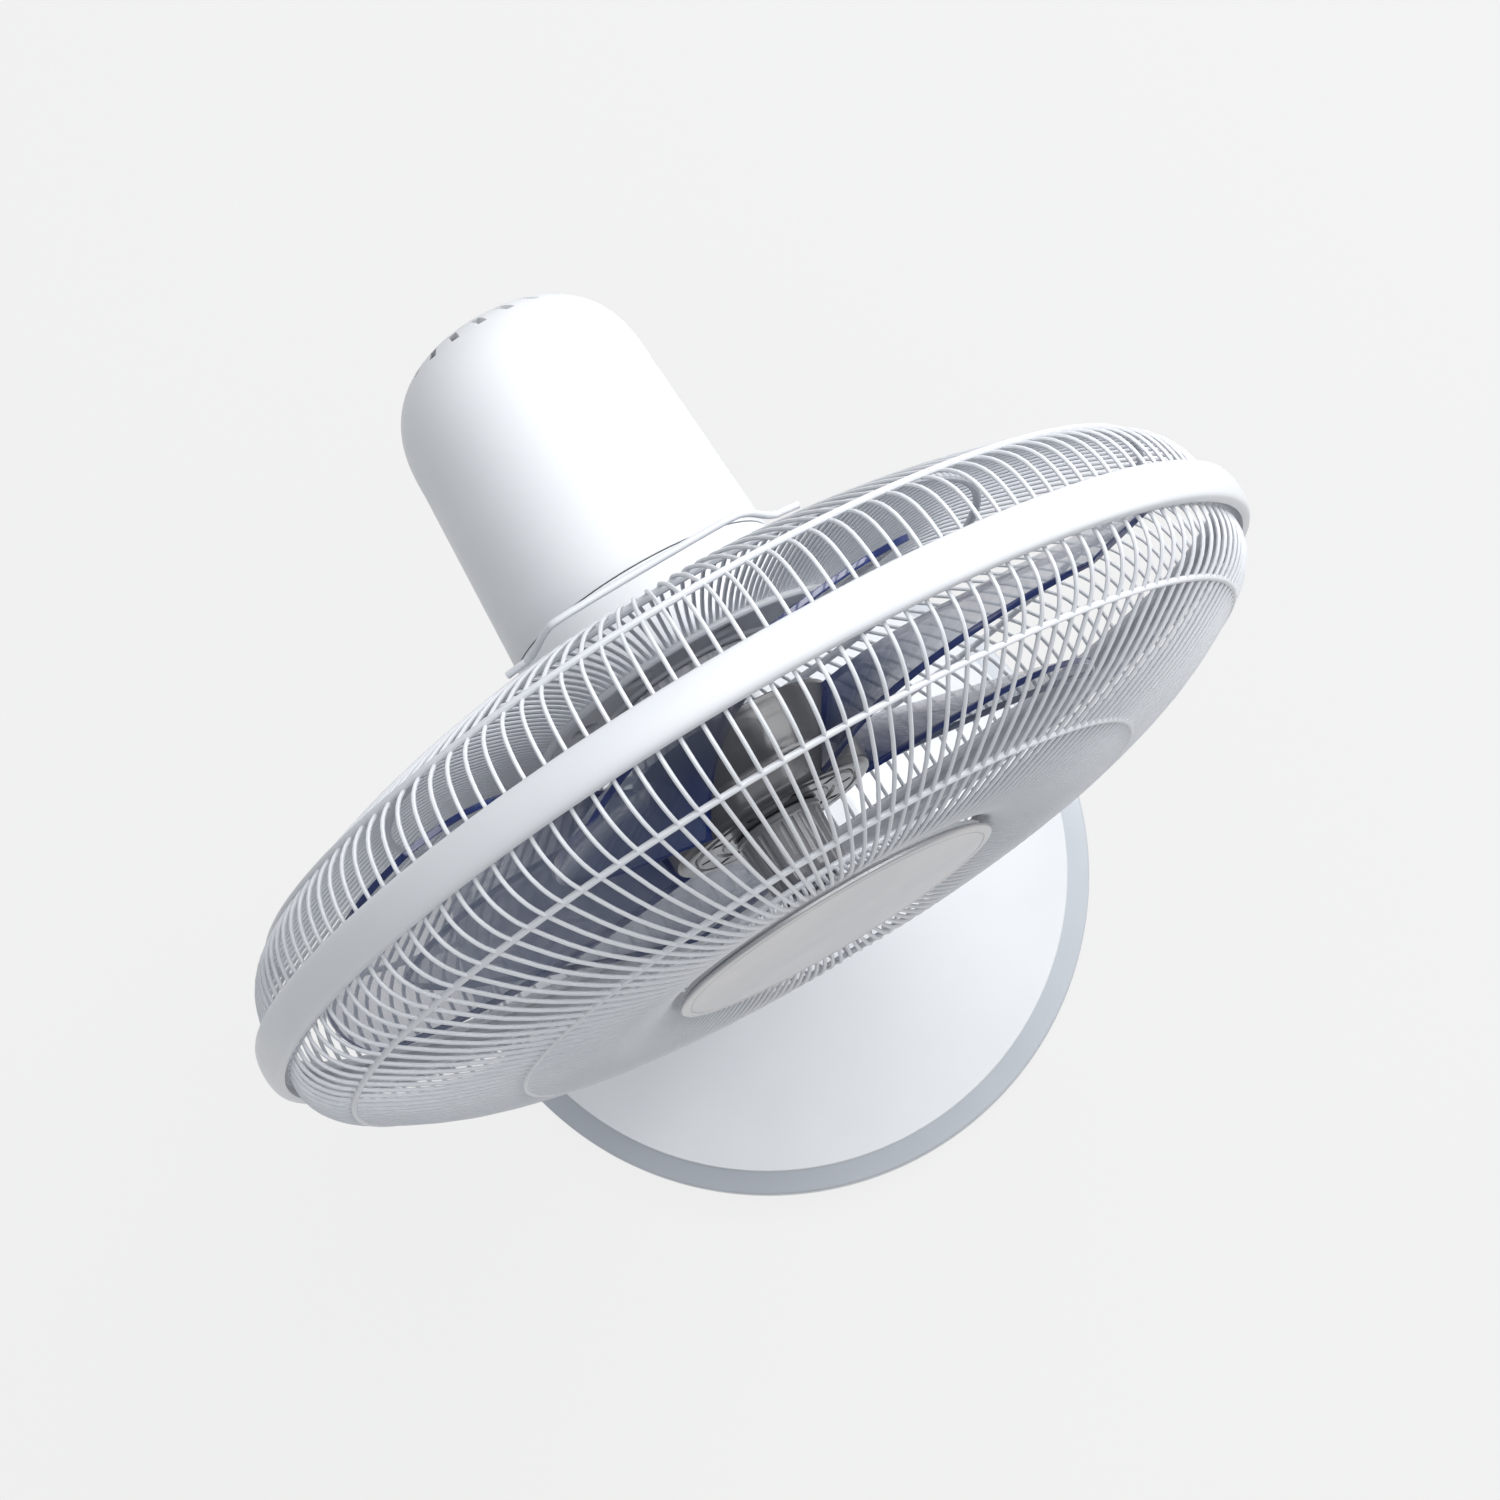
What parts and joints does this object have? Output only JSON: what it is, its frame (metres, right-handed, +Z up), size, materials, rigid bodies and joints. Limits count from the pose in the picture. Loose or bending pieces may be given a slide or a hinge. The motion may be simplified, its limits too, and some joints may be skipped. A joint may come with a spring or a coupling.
{
  "type": "desk fan",
  "caption": "Desk fan with a domed motor housing, wire cage, smoky blades and push keys on a leaning column above a round base.",
  "frame": {"origin": "middle of the whole fan's footprint, on the surface that it stands on, 12.5 mm behind the centre of the round base", "axes": "+Z up; the fan blows towards -Y; the motor housing points towards +Y; +X is the viewer's right when facing the fan"},
  "size_m": [0.4408, 0.3449, 0.6304],
  "materials": {
    "gloss_white": "injection-moulded gloss white",
    "white_powder_coat": "white powder coat on wire",
    "grey_plastic": "fine matt grain",
    "satin_silver": "satin silver lacquer",
    "key_grey": "smooth satin",
    "black_plastic": "matt black",
    "smoke_plastic": "smoked gloss",
    "smoky_blue": "translucent smoky blue",
    "grey_rubber": "matt rubber",
    "bright_steel": "ground",
    "zinc_plate": "zinc plated",
    "sintered_bronze": "sintered, oiled",
    "enamelled_copper": "enamelled winding wire",
    "lamination_steel": "stacked laminations"
  },
  "bodies": {
    "base": {"base_shell": "gloss_white", "base_weight": "bright_steel", "base_cover": "grey_plastic", "foot_1": "grey_rubber", "foot_2": "grey_rubber", "foot_3": "grey_rubber", "foot_4": "grey_rubber", "cord_gland": "grey_rubber", "column_front_shell": "gloss_white", "column_rear_shell": "gloss_white", "column_floor": "grey_plastic", "column_cap": "gloss_white", "column_screw_1": "zinc_plate", "column_screw_2": "zinc_plate", "column_screw_3": "zinc_plate", "neck_bush": "sintered_bronze", "key_panel": "satin_silver", "switch_block": "grey_plastic", "run_capacitor": "black_plastic", "oscillation_motor": "zinc_plate", "oscillation_shelf": "grey_plastic"},
    "neck": {"neck_yoke": "gloss_white", "tilt_pin": "zinc_plate", "neck_clip": "bright_steel", "oscillation_lever": "bright_steel"},
    "head": {"tilt_arm": "gloss_white", "motor_bolt_1": "zinc_plate", "motor_bolt_2": "zinc_plate", "stator_core": "lamination_steel", "front_winding": "enamelled_copper", "rear_winding": "enamelled_copper", "motor_front_plate": "zinc_plate", "motor_rear_plate": "zinc_plate", "front_bearing": "sintered_bronze", "rear_bearing": "sintered_bronze", "motor_front_cover": "gloss_white", "motor_rear_cover": "gloss_white", "rear_cover_screw": "zinc_plate", "guard_mount_plate": "white_powder_coat", "rear_guard_nut": "gloss_white", "front_guard": "white_powder_coat", "rear_guard": "white_powder_coat", "clamp_band": "gloss_white", "band_screw": "zinc_plate", "band_nut": "zinc_plate", "carry_handle": "white_powder_coat", "badge_plate": "satin_silver", "badge_backing": "gloss_white"},
    "blades": {"fan_blade": "smoky_blue", "spinner_nut": "smoke_plastic", "motor_shaft": "bright_steel", "rotor_core": "lamination_steel", "drive_pin": "bright_steel"},
    "knob": {"tilt_knob": "grey_plastic"},
    "crank": {"oscillation_crank": "key_grey"},
    "key_off": {"key_off": "key_grey"},
    "key_low": {"key_low": "key_grey"},
    "key_medium": {"key_medium": "key_grey"},
    "key_high": {"key_high": "key_grey"},
    "key_oscillate": {"key_oscillate": "key_grey"}
  },
  "joints": [
    {"name": "oscillate", "type": "hinge", "parent": "base", "child": "neck", "pos_m": [0, 0.0625, 0.2975], "axis": [0, 0, 1], "range_deg": [-40, 40]},
    {"name": "tilt", "type": "hinge", "parent": "neck", "child": "head", "pos_m": [0, 0.0625, 0.335], "axis": [-1, 0, 0], "range_deg": [-5, 25]},
    {"name": "blade_spin", "type": "hinge", "parent": "head", "child": "blades", "pos_m": [0, -0.0495, 0.41], "axis": [0, 1, 0], "continuous": true},
    {"name": "knob_turn", "type": "hinge", "parent": "neck", "child": "knob", "pos_m": [0.0215, 0.0625, 0.335], "axis": [1, 0, 0], "range_deg": [0, 300]},
    {"name": "crank_turn", "type": "hinge", "parent": "base", "child": "crank", "pos_m": [0, 0.0525, 0.2565], "axis": [0, 0, 1], "range_deg": [-90, 90]},
    {"name": "key_off_press", "type": "slide", "parent": "base", "child": "key_off", "axis": [0, 0.9787, -0.2053], "range_m": [0, 0.003], "stiffness_N_per_m": 400},
    {"name": "key_low_press", "type": "slide", "parent": "base", "child": "key_low", "axis": [0, 0.9787, -0.2053], "range_m": [0, 0.003], "stiffness_N_per_m": 400},
    {"name": "key_medium_press", "type": "slide", "parent": "base", "child": "key_medium", "axis": [0, 0.9787, -0.2053], "range_m": [0, 0.003], "stiffness_N_per_m": 400},
    {"name": "key_high_press", "type": "slide", "parent": "base", "child": "key_high", "axis": [0, 0.9787, -0.2053], "range_m": [0, 0.003], "stiffness_N_per_m": 400},
    {"name": "key_oscillate_press", "type": "slide", "parent": "base", "child": "key_oscillate", "axis": [0, 0.9787, -0.2053], "range_m": [0, 0.003], "stiffness_N_per_m": 400}
  ],
  "couplings": [
    {"joint": "crank_turn", "follows": "oscillate", "ratio": 2.25}
  ]
}
